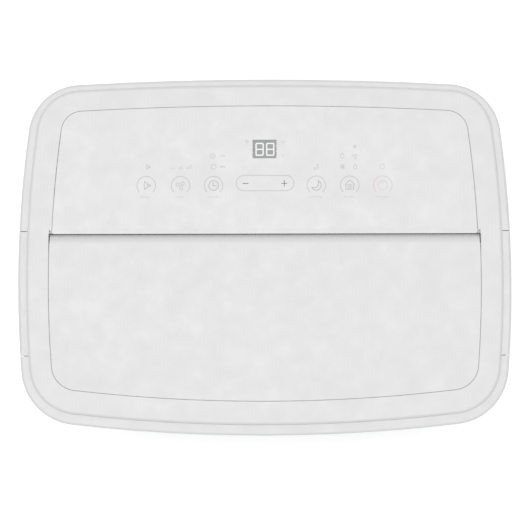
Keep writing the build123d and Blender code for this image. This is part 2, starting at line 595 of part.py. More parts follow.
def exhaust_duct():
    """The box that turns the condenser air from the lower scroll back to the collar."""
    x0, x1, top = -12.0, 152.0, DECK_Z - 0.6
    step_y, back_y, low = LOWER["rear"] + 8, 126.0, 250.0
    body = block(x0, x1, LOWER["front"] - 4, step_y, LOWER["top"] + 0.2, top)
    body += block(x0, x1, step_y - 1, back_y, low, top)
    t = SHEET
    hollow = block(x0 + t, x1 - t, LOWER["front"] - 4 + t, step_y + 8, LOWER["top"] + 0.2 + t, top - t)
    hollow += block(x0 + t, x1 - t, step_y - 1 + t, back_y - t, low + t, top - t)
    body -= hollow
    left = LOWER["x"] + LOWER["start"] * math.cos(math.radians(50)) + t
    right = LOWER["x"] + LOWER["end"] - t
    body -= block(left, right, LOWER["front"] + t, LOWER["rear"] - t, LOWER["top"] - 1, LOWER["top"] + 5)
    return body - rod_y(EXHAUST_X, EXHAUST_Z, EXHAUST_R, back_y - 5, back_y + 5)


def exhaust_collar():
    """The round outlet for the hose, with three bayonet notches and a flange inside the shell."""
    collar = rod_y(EXHAUST_X, EXHAUST_Z, EXHAUST_R + EXHAUST_WALL, 126.2, 154.0)
    collar += rod_y(EXHAUST_X, EXHAUST_Z, EXHAUST_R + 5, 144, 147)
    collar -= rod_y(EXHAUST_X, EXHAUST_Z, EXHAUST_R, 120, 160)
    for i in range(3):
        notch = Pos(EXHAUST_X, EXHAUST_Z) * Rot(0, 0, 90 + 120 * i) * Pos(EXHAUST_R, 0) * Rectangle(3, 12)
        collar -= along_y(notch, 146, 160)
    rim = [e for e in collar.edges().filter_by(GeomType.CIRCLE) if e.center().Y > 153.9 and e.radius > 69]
    return chamfer(rim, 0.8)


# ---- rear covers, plugs and fasteners -----------------------------------------------------------
def intake_grille(z_range):
    """A curved cover that fills its window, with rows of slots and a finger notch on top."""
    low, high = z_range
    skin = along_z(plan(), low, high) - along_z(plan(3), low - 1, high + 1)
    outline = RectangleRounded(2 * WINDOW_HALF, high - low, 6)
    grille = skin & along_y(Pos(0, (low + high) / 2) * outline, 120, 170)
    pitch, slot_h, margin = 8.0, 4.6, 11.0
    rows = int((high - low - 2 * margin) / pitch)
    first = (low + high) / 2 - pitch * (rows - 1) / 2
    slot_w = (2 * WINDOW_HALF - 2 * margin - 12) / 3
    for row in range(rows):
        for column in (-1, 0, 1):
            slot = Pos(column * (slot_w + 6), first + row * pitch) * SlotOverall(slot_w, slot_h)
            grille -= along_y(slot, 120, 170)
    return grille - along_y(Pos(0, high) * RectangleRounded(44, 9, 3), 120, 170)


def filter_screen():
    """A flat frame with ribs that carries the dust net behind the upper grille."""
    low, high = UPPER_WINDOW[0] + 5, UPPER_WINDOW[1] - 9
    half = WINDOW_HALF - 4
    mid = (low + high) / 2
    frame = along_y(Pos(0, mid) * RectangleRounded(2 * half, high - low, 5), 144.5, 147.5)
    frame -= along_y(Pos(0, mid) * Rectangle(2 * half - 12, high - low - 12), 140, 150)
    for x in (-96, -48, 0, 48, 96):
        frame += block(x - 1, x + 1, 144.5, 147.5, low + 1, high - 1)
    for z in (low + (high - low) / 3, low + (high - low) * 2 / 3):
        frame += block(-half + 1, half - 1, 144.5, 147.5, z - 1, z + 1)
    return frame


def drain_plug(place, seat_y):
    """A rubber plug with a flat head and a ribbed stem."""
    x, z = place
    plug = rod_y(x, z, DRAIN_R - 0.15, seat_y - 10, seat_y + 1)
    head = fillet(rod_y(x, z, 10.5, seat_y + 0.2, 154.2).edges(), 0.6)
    return plug + head


def cord_gland():
    """The rubber gland in the rear shell that the mains lead passes through."""
    gland = rod_y(CORD_X, CORD_Z, CORD_R + 4.8, 144, 155.6)
    gland += rod_y(CORD_X, CORD_Z, CORD_R + 8, 153.8, 155.6)
    gland += rod_y(CORD_X, CORD_Z, CORD_R + 8, 146, 149.6)
    gland = fillet([e for e in gland.edges() if e.center().Y > 155.5], 0.7)
    return gland - rod_y(CORD_X, CORD_Z, CORD_R, 140, 160)


def shell_screws():
    screws = []
    for z in SCREW_Z:
        for x in (-SCREW_X, SCREW_X):
            seat = SCREW_SEAT_Y
            head = fillet(rod_y(x, z, 4, seat, seat + 2.2).edges().filter_by(GeomType.CIRCLE), 0.8)
            cross = block(x - 0.5, x + 0.5, seat + 1.2, seat + 4, z - 2.2, z + 2.2)
            cross += block(x - 2.2, x + 2.2, seat + 1.2, seat + 4, z - 0.5, z + 0.5)
            screws.append(head + rod_y(x, z, 1.9, 140, seat + 0.5) - cross)
    return screws


# ---- compressor, piping and electrics -----------------------------------------------------------
def foot_places():
    return [
        (COMP_X + FOOT_R * math.cos(math.radians(a)), COMP_Y + FOOT_R * math.sin(math.radians(a)))
        for a in (30, 150, 270)
    ]


def compressor():
    """The welded can on its foot plate, and the suction accumulator beside it."""
    can = fillet(rod_z(COMP_X, COMP_Y, COMP_R, 79.5, 268).edges().filter_by(GeomType.CIRCLE), 20)
    band = rod_z(COMP_X, COMP_Y, COMP_R + 1.5, 224, 230)
    plate = make_hull([e for x, y in foot_places() for e in (Pos(x, y) * Circle(14)).edges()])
    plate = along_z(plate, 76, 79.5)
    for x, y in foot_places():
        plate -= rod_z(x, y, 6, 70, 90)
    body = can + band + plate
    body += rod_z(COMP_X + 26, COMP_Y, 5, 262, 274)
    bottle = fillet(rod_z(-96, -112, 19, 112, 222).edges().filter_by(GeomType.CIRCLE), 9)
    return [body, bottle]


def compressor_grommets():
    feet = []
    for x, y in foot_places():
        foot = rod_z(x, y, 11, FLOOR_GAP + 3, 75.8) + rod_z(x, y, 5.8, 70, 80)
        feet.append(foot - rod_z(x, y, 4.2, 40, 90))
    return feet


def compressor_studs():
    pieces = []
    for x, y in foot_places():
        pieces.append(rod_z(x, y, 4, FLOOR_GAP + 3, 92))
        nut = Pos(x, y) * RegularPolygon(7.5, 6)
        pieces.append(along_z(nut, 80.3, 86.8) - rod_z(x, y, 4, 70, 100))
    return pieces


def refrigerant_lines():
    """Suction, discharge, liquid and accumulator tubes, from coil to compressor."""
    x = -COIL_HALF - 3.0
    coil_y = COIL_FRONT_Y + 14
    suction = pipe(
        [(x, coil_y, 412), (-186, coil_y, 412), (-186, coil_y, 330), (-186, -112, 330), (-96, -112, 330),
         (-96, -112, 223)],
        14, 4.0,
    )
    discharge = pipe(
        [(COMP_X + 26, COMP_Y, 274.5), (COMP_X + 26, COMP_Y, 310), (COMP_X + 26, 66, 310), (-174, 66, 310),
         (-174, coil_y, 310), (-174, coil_y, 228), (x, coil_y, 228)],
        12, 3.0,
    )
    liquid = pipe(
        [(x, coil_y, 98), (-195, coil_y, 98), (-195, coil_y, 584), (x, coil_y, 584)], 12, 2.0
    )
    link = pipe([(-96, -112, 111.5), (-96, -112, 96), (-106, -86, 96)], 7, 4.0)
    return [suction, discharge, liquid, link]


BOX = (-186.0, -62.0, -120.0, -78.0, DECK_TOP, 555.0)  # electrical box


def control_box():
    x0, x1, y0, y1, z0, z1 = BOX
    box = block(*BOX) - block(x0 + 2, x1 - 2, y0 - 1, y1 - 2, z0 + 2, z1 - 2)
    for x in (x0 + 12, x1 - 12):
        for z in (z0 + 12, z1 - 12):
            box += rod_y(x, z, 4, y1 - 9, y1 - 1)
    return box - rod_z(-150, -100, 3.6, z1 - 5, z1 + 5)


def control_box_lid():
    x0, x1, y0, y1, z0, z1 = BOX
    lid = block(x0 - 2, x1 + 2, y0 - 2.4, y0 - 0.4, z0, z1 + 2)
    for i in range(6):
        lid -= along_y(Pos((x0 + x1) / 2, z1 - 24 - 9 * i) * SlotOverall(60, 4), y0 - 5, y0 + 5)
    return lid


def main_board():
    x0, x1, y0, y1, z0, z1 = BOX
    y = y1 - 9.2
    board = block(x0 + 6, x1 - 6, y - 1.6, y, z0 + 6, z1 - 6)
    pieces = [board]
    for i in range(4):
        pieces.append(block(x0 + 14 + 20 * i, x0 + 30 + 20 * i, y - 17.6, y - 1.7, z0 + 14, z0 + 36))
    pieces.append(block(x0 + 16, x0 + 52, y - 25, y - 1.7, z0 + 60, z0 + 92))
    pieces.append(block(x1 - 40, x1 - 14, y - 10, y - 1.7, z1 - 50, z1 - 18))
    for i in range(3):
        pieces.append(rod_y(x1 - 20, z0 + 52 + 18 * i, 6, y - 20, y - 1.7))
    return pieces


def run_capacitor():
    """The compressor's run capacitor, standing on the deck."""
    can = fillet(rod_z(76, -104, 18, DECK_TOP, 479).edges().filter_by(GeomType.CIRCLE), 2.5)
    for x in (70, 82):
        can += block(x - 3, x + 3, -104.5, -103.5, 478, 489)
    return can


def wire_harness():
    """The sleeved lead from the electrical box to the display board."""
    return pipe(
        [(-150, -100, 550), (-150, -100, 594), (-198, -100, 594), (-198, -100, 634), (-198, 58, 634),
         (-198, 58, 668), (-100, 58, 668), (-100, 58, 683)],
        12, 3.0,
    )


# ---- casters ------------------------------------------------------------------------------------
def caster_fork(x, y):
    """Cap, stem and two legs, and the axle pressed through them."""
    cap = fillet(rod_z(0, 0, 14, 38.6, FLOOR_GAP - 0.5).edges().filter_by(GeomType.CIRCLE), 1.2)
    fork = cap + rod_z(0, 0, STEM_R, FLOOR_GAP - 1, FLOOR_GAP + 22)
    leg = make_hull(
        (Pos(-TRAIL, TREAD_R) * Circle(6.5)).edges() + (Pos(1, 37) * Rectangle(20, 5)).edges()
    )
    inner = TREAD_W / 2 + 0.8
    for sign in (-1, 1):
        fork += along_x(leg, min(sign * inner, sign * (inner + 2.6)), max(sign * inner, sign * (inner + 2.6)))
    reach = inner + 2.6
    fork -= rod_x(-TRAIL, TREAD_R, AXLE_R, -reach - 1, reach + 1)
    axle = rod_x(-TRAIL, TREAD_R, AXLE_R, -reach, reach)
    for x0 in (-reach - 1.6, reach):
        axle += rod_x(-TRAIL, TREAD_R, 4, x0, x0 + 1.6)
    return [Pos(x, y) * fork, Pos(x, y) * axle]


def caster_wheel(x, y):
    half = TREAD_W / 2
    wheel = rod_x(-TRAIL, TREAD_R, TREAD_R, -half, half)
    wheel = fillet(wheel.edges().filter_by(GeomType.CIRCLE), 2.2)
    for x0, x1 in ((-half - 1, -half + 2.6), (half - 2.6, half + 1)):
        groove = rod_x(-TRAIL, TREAD_R, 13.5, x0, x1) - rod_x(-TRAIL, TREAD_R, 6, x0 - 1, x1 + 1)
        wheel -= groove
    wheel -= rod_x(-TRAIL, TREAD_R, AXLE_R + RUN, -half - 1, half + 1)
    return Pos(x, y) * wheel


# ---- assembly -----------------------------------------------------------------------------------
def build():
    ring = jacket()
    PARTS["front_panel"] = ring & ahead_of(FRONT_SPLIT_Y - SPLIT_GAP / 2)
    PARTS["rear_shell"] = rear_shell(ring)
    for name, sign in (("left", -1), ("right", 1)):
        PARTS[f"side_panel_{name}"] = side_panel(ring, sign)
        PARTS[f"handle_cup_{name}"] = handle_cup(sign)
    PARTS["base_pan"] = base_pan()
    PARTS["top_frame"] = top_frame()
    PARTS["control_panel"] = control_panel()
    PARTS["display_window"] = display_window()
    PARTS["display_board"] = display_board()
    PARTS["louver_flap"] = louver_flap()
    PARTS["louver_motor"] = louver_motor()
    PARTS["louver_shaft"] = louver_shaft()
    PARTS["outlet_duct"] = outlet_duct()
    for i in range(VANE_COUNT):
        PARTS[f"air_vane_{i + 1}"] = air_vane(i)
    PARTS["vane_tie_bar"] = vane_tie_bar()
    for name, fan, blades, motor_r, motor_l in (("upper", UPPER, 36, 40, 44), ("lower", LOWER, 32, 38, 46)):
        PARTS[f"{name}_scroll"] = scroll(fan)
        PARTS[f"{name}_scroll_cover"] = scroll_cover(fan)
        PARTS[f"{name}_blower_wheel"] = blower_wheel(fan, blades)
        PARTS[f"{name}_motor"] = motor(fan, motor_r, motor_l)
    PARTS["evaporator_fins"] = fin_pack(EVAPORATOR_Z)
    PARTS["evaporator_tubes"] = coil_ends(EVAPORATOR_Z, DECK_TOP)
    PARTS["condenser_fins"] = fin_pack(CONDENSER_Z)
    PARTS["condenser_tubes"] = coil_ends(CONDENSER_Z, CONDENSER_Z[0])
    PARTS["partition_deck"] = partition_deck()
    PARTS["exhaust_duct"] = exhaust_duct()
    PARTS["exhaust_collar"] = exhaust_collar()
    PARTS["upper_intake_grille"] = intake_grille(UPPER_WINDOW)
    PARTS["lower_intake_grille"] = intake_grille(LOWER_WINDOW)
    PARTS["filter_screen"] = filter_screen()
    PARTS["upper_drain_plug"] = drain_plug(UPPER_DRAIN, 150.5)
    PARTS["lower_drain_plug"] = drain_plug(LOWER_DRAIN, 149.4)
    PARTS["cord_gland"] = cord_gland()
    PARTS["shell_screws"] = shell_screws()
    PARTS["compressor"] = compressor()
    PARTS["compressor_grommets"] = compressor_grommets()
    PARTS["compressor_studs"] = compressor_studs()
    PARTS["refrigerant_lines"] = refrigerant_lines()
    PARTS["control_box"] = control_box()
    PARTS["control_box_lid"] = control_box_lid()
    PARTS["main_board"] = main_board()
    PARTS["run_capacitor"] = run_capacitor()
    PARTS["wire_harness"] = wire_harness()
    for name, (x, y) in CASTERS.items():
        PARTS[f"caster_{name}_fork"] = caster_fork(x, y)
        PARTS[f"caster_{name}_wheel"] = caster_wheel(x, y)


def write():
    os.makedirs("parts", exist_ok=True)
    for name, shape in PARTS.items():
        if isinstance(shape, list):
            shape = Compound(children=[s for piece in shape for s in piece.solids()])
        export_step(shape, f"parts/{name}.step")


build()
write()
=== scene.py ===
"""Looks of the portable air conditioner: materials, printed symbols, display, light and camera."""

import json
import math

import bmesh
import bpy
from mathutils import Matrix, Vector


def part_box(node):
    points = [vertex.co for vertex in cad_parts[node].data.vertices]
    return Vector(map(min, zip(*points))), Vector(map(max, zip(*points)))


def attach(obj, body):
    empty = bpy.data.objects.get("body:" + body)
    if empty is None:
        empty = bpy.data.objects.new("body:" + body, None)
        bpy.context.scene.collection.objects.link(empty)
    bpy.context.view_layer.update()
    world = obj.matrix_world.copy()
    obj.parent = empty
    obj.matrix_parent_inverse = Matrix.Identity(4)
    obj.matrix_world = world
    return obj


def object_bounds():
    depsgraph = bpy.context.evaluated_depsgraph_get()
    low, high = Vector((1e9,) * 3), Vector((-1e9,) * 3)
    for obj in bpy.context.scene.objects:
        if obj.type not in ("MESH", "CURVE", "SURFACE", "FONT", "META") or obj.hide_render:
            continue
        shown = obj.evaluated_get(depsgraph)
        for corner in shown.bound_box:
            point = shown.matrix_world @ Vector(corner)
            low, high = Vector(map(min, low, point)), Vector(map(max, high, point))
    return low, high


MM = 0.001

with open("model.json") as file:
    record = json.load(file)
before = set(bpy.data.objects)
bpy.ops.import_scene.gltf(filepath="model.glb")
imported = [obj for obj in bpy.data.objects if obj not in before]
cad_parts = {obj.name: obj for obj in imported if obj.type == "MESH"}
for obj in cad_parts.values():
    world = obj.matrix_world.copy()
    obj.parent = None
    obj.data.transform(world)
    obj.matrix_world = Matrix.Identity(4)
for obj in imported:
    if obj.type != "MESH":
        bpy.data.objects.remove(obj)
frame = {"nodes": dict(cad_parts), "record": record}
cad_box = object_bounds()
nodes = frame["nodes"]


# ---- node helpers -------------------------------------------------------------------------------
class Shader:
    """A material under construction, with short names for the nodes it uses."""

    def __init__(self, name, color, rough, metallic=0.0):
        self.mat = bpy.data.materials.new(name)
        self.mat.use_nodes = True
        self.tree = self.mat.node_tree
        self.bsdf = self.tree.nodes["Principled BSDF"]
        self.color = color
        self.rough = rough
        self.set("Base Color", (*color, 1))
        self.set("Roughness", rough)
        self.set("Metallic", metallic)
        self.coords = self.add("ShaderNodeTexCoord").outputs["Object"]
        self.height = None

    def set(self, socket, value):
        self.bsdf.inputs[socket].default_value = value
        return self

    def add(self, kind, **props):
        node = self.tree.nodes.new(kind)
        for key, value in props.items():
            setattr(node, key, value)
        return node

    def link(self, out, inp):
        self.tree.links.new(out, inp)

    def mapped(self, scale, turn=(0, 0, 0)):
        """Object coordinates in metres, scaled per axis."""
        node = self.add("ShaderNodeMapping")
        self.link(self.coords, node.inputs["Vector"])
        node.inputs["Scale"].default_value = scale
        node.inputs["Rotation"].default_value = turn
        return node.outputs["Vector"]

    def noise(self, scale, detail=2.0, rough=0.5, stretch=(1, 1, 1), distort=0.0):
        node = self.add("ShaderNodeTexNoise")
        self.link(self.mapped(stretch), node.inputs["Vector"])
        node.inputs["Scale"].default_value = scale
        node.inputs["Detail"].default_value = detail
        node.inputs["Roughness"].default_value = rough
        node.inputs["Distortion"].default_value = distort
        return node.outputs["Fac"]

    def cells(self, scale):
        """A colour that is even over each cell and jumps from cell to cell."""
        node = self.add("ShaderNodeTexVoronoi")
        self.link(self.mapped((1, 1, 1)), node.inputs["Vector"])
        node.inputs["Scale"].default_value = scale
        return node.outputs["Color"]

    def bands(self, scale, axis="X", turn=(0, 0, 0), profile="SIN", distort=0.0):
        node = self.add("ShaderNodeTexWave", bands_direction=axis, wave_profile=profile)
        self.link(self.mapped((1, 1, 1), turn), node.inputs["Vector"])
        node.inputs["Scale"].default_value = scale
        node.inputs["Distortion"].default_value = distort
        return node.outputs["Fac"]

    def ranged(self, fac, low, high, to_low, to_high):
        node = self.add("ShaderNodeMapRange")
        self.link(fac, node.inputs["Value"])
        for key, value in zip(("From Min", "From Max", "To Min", "To Max"), (low, high, to_low, to_high)):
            node.inputs[key].default_value = value
        return node.outputs["Result"]

    def math(self, kind, a, b):
        node = self.add("ShaderNodeMath", operation=kind)
        for socket, value in zip(node.inputs, (a, b)):
            if isinstance(value, (int, float)):
                socket.default_value = value
            else:
                self.link(value, socket)
        return node.outputs["Value"]

    def ramp(self, fac, stops):
        node = self.add("ShaderNodeValToRGB")
        self.link(fac, node.inputs["Fac"])
        for i, (at, color) in enumerate(stops):
            element = node.color_ramp.elements[i] if i < 2 else node.color_ramp.elements.new(at)
            element.position = at
            element.color = (*color, 1)
        return node.outputs["Color"]

    def tint(self, fac, low=0.94, high=1.04):
        """Colour that wanders a little around the base colour."""
        dark = tuple(c * low for c in self.color)
        light = tuple(min(1, c * high) for c in self.color)
        self.link(self.ramp(fac, ((0.3, dark), (0.7, light))), self.bsdf.inputs["Base Color"])
        return self

    def rough_from(self, fac, spread):
        low, high = max(0.02, self.rough - spread), min(1, self.rough + spread)
        self.link(self.ranged(fac, 0.3, 0.7, low, high), self.bsdf.inputs["Roughness"])
        return self

    def bump(self, fac, depth_mm, strength=1.0):
        """Adds a bump layer; layers stack."""
        node = self.add("ShaderNodeBump")
        node.inputs["Distance"].default_value = depth_mm * MM
        node.inputs["Strength"].default_value = strength
        self.link(fac, node.inputs["Height"])
        if self.height is not None:
            self.link(self.height, node.inputs["Normal"])
        self.height = node.outputs["Normal"]
        self.link(self.height, self.bsdf.inputs["Normal"])
        return self


def moulded(name, color, rough, grain=0.012, grain_scale=2600, mottle=0.02):
    """Injection-moulded plastic: fine spark-eroded grain, faint flow mottling."""
    s = Shader(name, color, rough)
    s.set("IOR", 1.5)
    s.tint(s.noise(9, 3), 1 - mottle, 1 + mottle * 0.5)
    s.rough_from(s.noise(60, 3, 0.6), 0.05)
    s.bump(s.noise(grain_scale, 2, 0.6), grain)
    s.bump(s.noise(7, 1), 0.1, 0.1)
    return s


def rubber(name, color):
    """Matt moulded rubber with a dusty, uneven bloom."""
    s = Shader(name, color, 0.72)
    s.set("Specular IOR Level", 0.35)
    s.tint(s.noise(180, 4), 0.8, 1.15)
    s.rough_from(s.noise(400, 3), 0.1)
    s.bump(s.noise(1500, 3, 0.7), 0.03)
    return s


def painted(name, color, rough):
    """Sprayed enamel with orange peel."""
    s = Shader(name, color, rough)
    s.set("Coat Weight", 0.3)
    s.set("Coat Roughness", 0.2)
    s.tint(s.noise(30, 4), 0.85, 1.1)
    s.rough_from(s.noise(120, 3), 0.08)
    s.bump(s.noise(420, 2, 0.4), 0.03)
    return s


def bare_metal(name, color, rough, stretch):
    """Drawn or rolled metal with streaks along its working direction."""
    s = Shader(name, color, rough, metallic=1.0)
    s.tint(s.noise(40, 4, 0.6), 0.82, 1.08)
    s.rough_from(s.noise(500, 3, 0.6, stretch), 0.1)
    s.bump(s.noise(500, 3, 0.6, stretch), 0.008)
    return s


def galvanised():
    """Zinc-coated sheet with its spangle."""
    s = Shader("box_steel", (0.56, 0.58, 0.6), 0.42, metallic=0.9)
    spangle = s.cells(110)
    s.rough_from(spangle, 0.12)
    s.tint(spangle, 0.78, 1.12)
    s.bump(s.noise(300, 2), 0.01)
    return s


def circuit_board():
    """Solder mask with raised tracks running both ways."""
    s = Shader("board_green", (0.02, 0.16, 0.07), 0.35)
    track = s.bands(420, profile="TRI", distort=1.6)
    cross = s.bands(300, "Z", (0.3, 0, 0.8), "TRI", 2.2)
    lines = s.math("MAXIMUM", s.ranged(track, 0.78, 0.86, 0, 1), s.ranged(cross, 0.84, 0.9, 0, 1))
    s.link(s.ramp(lines, ((0, (0.015, 0.12, 0.05)), (1, (0.05, 0.3, 0.13)))), s.bsdf.inputs["Base Color"])
    s.bump(lines, 0.03)
    s.bump(s.noise(900, 2), 0.004)
    s.set("Coat Weight", 0.4)
    return s


def fin_stock():
    """Thin aluminium fins, seen from their edges as fine lines."""
    s = Shader("fin_aluminium", (0.74, 0.76, 0.78), 0.34, metallic=1.0)
    s.tint(s.noise(50, 3), 0.86, 1.06)
    s.rough_from(s.noise(300, 2), 0.1)
    s.bump(s.bands(160, "Z", profile="SIN"), 0.12, 0.6)
    s.bump(s.noise(600, 3, 0.6, (1, 1, 6)), 0.02)
    return s


def copper():
    """Drawn copper tube with a patchy tarnish."""
    s = Shader("copper", (0.74, 0.36, 0.22), 0.28, metallic=1.0)
    tarnish = s.noise(60, 5, 0.65, distort=0.6)
    stops = ((0.35, (0.42, 0.19, 0.12)), (0.6, (0.78, 0.4, 0.25)))
    s.link(s.ramp(tarnish, stops), s.bsdf.inputs["Base Color"])
    s.rough_from(s.noise(120, 4), 0.14)
    s.bump(s.noise(500, 3), 0.012)
    return s


def braided():
    """Woven sleeve: two crossing sets of threads."""
    s = Shader("sleeve_black", (0.03, 0.03, 0.033), 0.6)
    one = s.bands(900, "DIAGONAL", profile="SIN")
    two = s.bands(900, "DIAGONAL", (0, 0, math.pi / 2), profile="SIN")
    weave = s.math("MAXIMUM", one, two)
    s.tint(weave, 0.5, 2.2)
    s.bump(weave, 0.25)
    return s


def display_glass():
    """Smoked matt window over the display module."""
    s = Shader("display_grey", (0.33, 0.345, 0.338), 0.55)
    s.set("Specular IOR Level", 0.3)
    s.tint(s.noise(160, 3), 0.96, 1.05)
    s.rough_from(s.noise(700, 2), 0.04)
    s.bump(s.noise(900, 2), 0.004)
    return s


WHITE = (0.70, 0.705, 0.70)
materials = {
    "shell_white": moulded("shell_white", WHITE, 0.5, mottle=0.006),
    "flap_white": moulded("flap_white", WHITE, 0.5, mottle=0.006),
    "panel_white": moulded("panel_white", WHITE, 0.48, grain=0.008, mottle=0.004),
    "display_grey": display_glass(),
    "board_green": circuit_board(),
    "inner_grey": moulded("inner_grey", (0.34, 0.36, 0.37), 0.5, 0.02, 1500, 0.06),
    "duct_white": moulded("duct_white", (0.6, 0.61, 0.61), 0.5, 0.02, 1500, 0.05),
    "blower_black": moulded("blower_black", (0.035, 0.036, 0.04), 0.45, 0.02, 1500, 0.15),
    "motor_grey": painted("motor_grey", (0.2, 0.21, 0.23), 0.4),
    "fin_aluminium": fin_stock(),
    "copper": copper(),
    "compressor_black": painted("compressor_black", (0.018, 0.018, 0.02), 0.28),
    "zinc_steel": bare_metal("zinc_steel", (0.62, 0.63, 0.64), 0.3, (1, 1, 0.1)),
    "box_steel": galvanised(),
    "rubber_black": rubber("rubber_black", (0.02, 0.02, 0.02)),
    "rubber_grey": rubber("rubber_grey", (0.3, 0.31, 0.315)),
    "caster_grey": moulded("caster_grey", (0.045, 0.046, 0.05), 0.45, 0.02, 1500, 0.12),
    "tread_grey": moulded("tread_grey", (0.09, 0.09, 0.095), 0.55, 0.03, 1200, 0.12),
    "capacitor_metal": bare_metal("capacitor_metal", (0.7, 0.71, 0.72), 0.32, (1, 1, 0.08)),
    "filter_grey": moulded("filter_grey", (0.1, 0.11, 0.12), 0.55, 0.02, 1500, 0.08),
    "sleeve_black": braided(),
}
for part in frame["record"]["subparts"]:
    slots = nodes[part["node"]].data.materials
    slots.clear()
    slots.append(materials[part["material_slot"]].mat)


# ---- printed symbols ----------------------------------------------------------------------------
SINK = 0.02  # how far every print reaches into the surface below it
LEVEL_STEP, LEVELS = 0.002, 8  # strokes that cross lie on different levels, so their tops never coincide


def turned(radius, degrees, centre=(0, 0)):
    """The point at this radius and angle round the centre."""
    a = math.radians(degrees)
    return centre[0] + radius * math.cos(a), centre[1] + radius * math.sin(a)


def add_object(name, data):
    obj = bpy.data.objects.new(name, data)
    bpy.context.scene.collection.objects.link(obj)
    return obj


def mesh_from(bm, name, material):
    mesh = bpy.data.meshes.new(name)
    bm.to_mesh(mesh)
    bm.free()
    mesh.materials.append(material.mat)
    return mesh


class Print:
    """Flat printed marks on a level surface, gathered in one mesh. Sizes are in millimetres."""

    def __init__(self, surface_z, film=0.05):
        self.bm = bmesh.new()
        self.low = surface_z - SINK * MM
        self.high = surface_z + film * MM
        self.at = (0, 0)
        self.scale = 1.0
        self.strokes = 0

    def place(self, at, scale=1.0):
        self.at = at
        self.scale = scale
        return self

    def line(self, points, width, closed=False):
        """A stroke of even width along the points, with mitred corners."""
        points = [Vector((x, y)) * self.scale for x, y in points]
        count = len(points)
        top = self.high + LEVEL_STEP * MM * (self.strokes % LEVELS)
        self.strokes += 1
        rows = []
        for i, here in enumerate(points):
            before = points[i - 1] if closed or i else here
            after = points[(i + 1) % count] if closed or i < count - 1 else here
            a = (here - before).normalized() if (here - before).length > 0 else (after - here).normalized()
            b = (after - here).normalized() if (after - here).length > 0 else a
            bend = (a + b).normalized() if (a + b).length > 1e-6 else a
            side = Vector((-bend.y, bend.x))
            reach = width / 2 / max(0.4, side.dot(Vector((-a.y, a.x))))
            row = []
            for edge, z in ((1, self.low), (1, top), (-1, top), (-1, self.low)):
                spot = here + side * reach * edge
                row.append(self.bm.verts.new(((self.at[0] + spot.x) * MM, (self.at[1] + spot.y) * MM, z)))
            rows.append(row)
        steps = count if closed else count - 1
        for i in range(steps):
            one, two = rows[i], rows[(i + 1) % count]
            for k in range(4):
                self.bm.faces.new((one[k], one[(k + 1) % 4], two[(k + 1) % 4], two[k]))
        if not closed:
            self.bm.faces.new(rows[0][::-1])
            self.bm.faces.new(rows[-1])
        return self

    def arc(self, radius, start, end, width, centre=(0, 0), steps=40):
        closed = abs(end - start) >= 360
        count = steps if closed else steps + 1
        points = [turned(radius, start + (end - start) * i / steps, centre) for i in range(count)]
        return self.line(points, width, closed)

    def oval(self, rx, ry, width, centre=(0, 0), turn=0.0, steps=24):
        c, s = math.cos(math.radians(turn)), math.sin(math.radians(turn))
        points = []
        for i in range(steps):
            a = 2 * math.pi * i / steps
            x, y = rx * math.cos(a), ry * math.sin(a)
            points.append((centre[0] + x * c - y * s, centre[1] + x * s + y * c))
        return self.line(points, width, closed=True)

    def piece(self, name, material):
        bmesh.ops.recalc_face_normals(self.bm, faces=self.bm.faces)
        obj = add_object(name, mesh_from(self.bm, name, material))
        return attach(obj, "cabinet")


def ink(name, color, rough=0.5):
    """Screen-printed ink with a slightly broken film."""
    s = Shader(name, color, rough)
    s.tint(s.noise(1800, 3), 0.9, 1.08)
    s.rough_from(s.noise(900, 2), 0.08)
    s.bump(s.noise(2500, 2), 0.004)
    return s


panel_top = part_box("control_panel")[1].z
soft_ink = ink("ink_soft", (0.5, 0.505, 0.5))
faint_ink = ink("ink_faint", (0.56, 0.565, 0.56))
mid_ink = ink("ink_mid", (0.4, 0.405, 0.4))
dark_ink = ink("ink_dark", (0.12, 0.125, 0.12))
red_ink = ink("ink_red", (0.66, 0.55, 0.545))

# six round keys in a row; the last one switches the unit on and off
KEYS = (-103.5, -73.5, -44.6, 45.2, 74.5, 103.3)
KEY_Y, KEY_R = 62.7, 8.1
RING_FROM, RING_TO = -46, 226  # each ring is open below, over its caption
RING_STROKE = 0.62
PILL_X, PILL_Y, PILL_HALF, PILL_R = 0.4, 64.7, 25.2, 6.7
SIGN_Y, MINUS_X, PLUS_X, SIGN_HALF = PILL_Y - 0.25, -16.7, 17.2, 2.5

rings = Print(panel_top)
for x in KEYS[:5]:
    rings.place((x, KEY_Y)).arc(KEY_R, RING_FROM, RING_TO, RING_STROKE, steps=64)
pill_end = [turned(PILL_R, a, (PILL_HALF - PILL_R, 0)) for a in range(-90, 91, 6)]
pill = pill_end + [(-x, -y) for x, y in pill_end]
rings.place((PILL_X, PILL_Y)).line(pill, RING_STROKE, closed=True)
rings.piece("key_outlines", soft_ink)

signs = Print(panel_top)
for x in (MINUS_X, PLUS_X):
    signs.place((x, SIGN_Y)).line([(-SIGN_HALF, 0), (SIGN_HALF, 0)], RING_STROKE)
signs.line([(0, -2.7), (0, 2.7)], RING_STROKE)
signs.piece("minus_and_plus", dark_ink)


# Each symbol is drawn about its own middle, in strokes of width w.
def swing_icon(p, w):
    p.line([(-1.4, 3.6), (-1.9, 0.2), (-1.4, -3.3), (3.9, 0.1)], w, closed=True)
    p.line([(0.2, 1.3), (2.0, 0.1), (0.2, -1.1)], w * 0.8)


def fan_icon(p, w):
    for turn in (40, 160, 280):
        p.oval(1.7, 1.2, w, turned(2.5, turn), turn + 30)


def clock_icon(p, w):
    p.arc(4.2, 0, 360, w)
    p.line([(-0.5, 3.0), (-0.3, -0.1), (2.7, -0.3)], w)


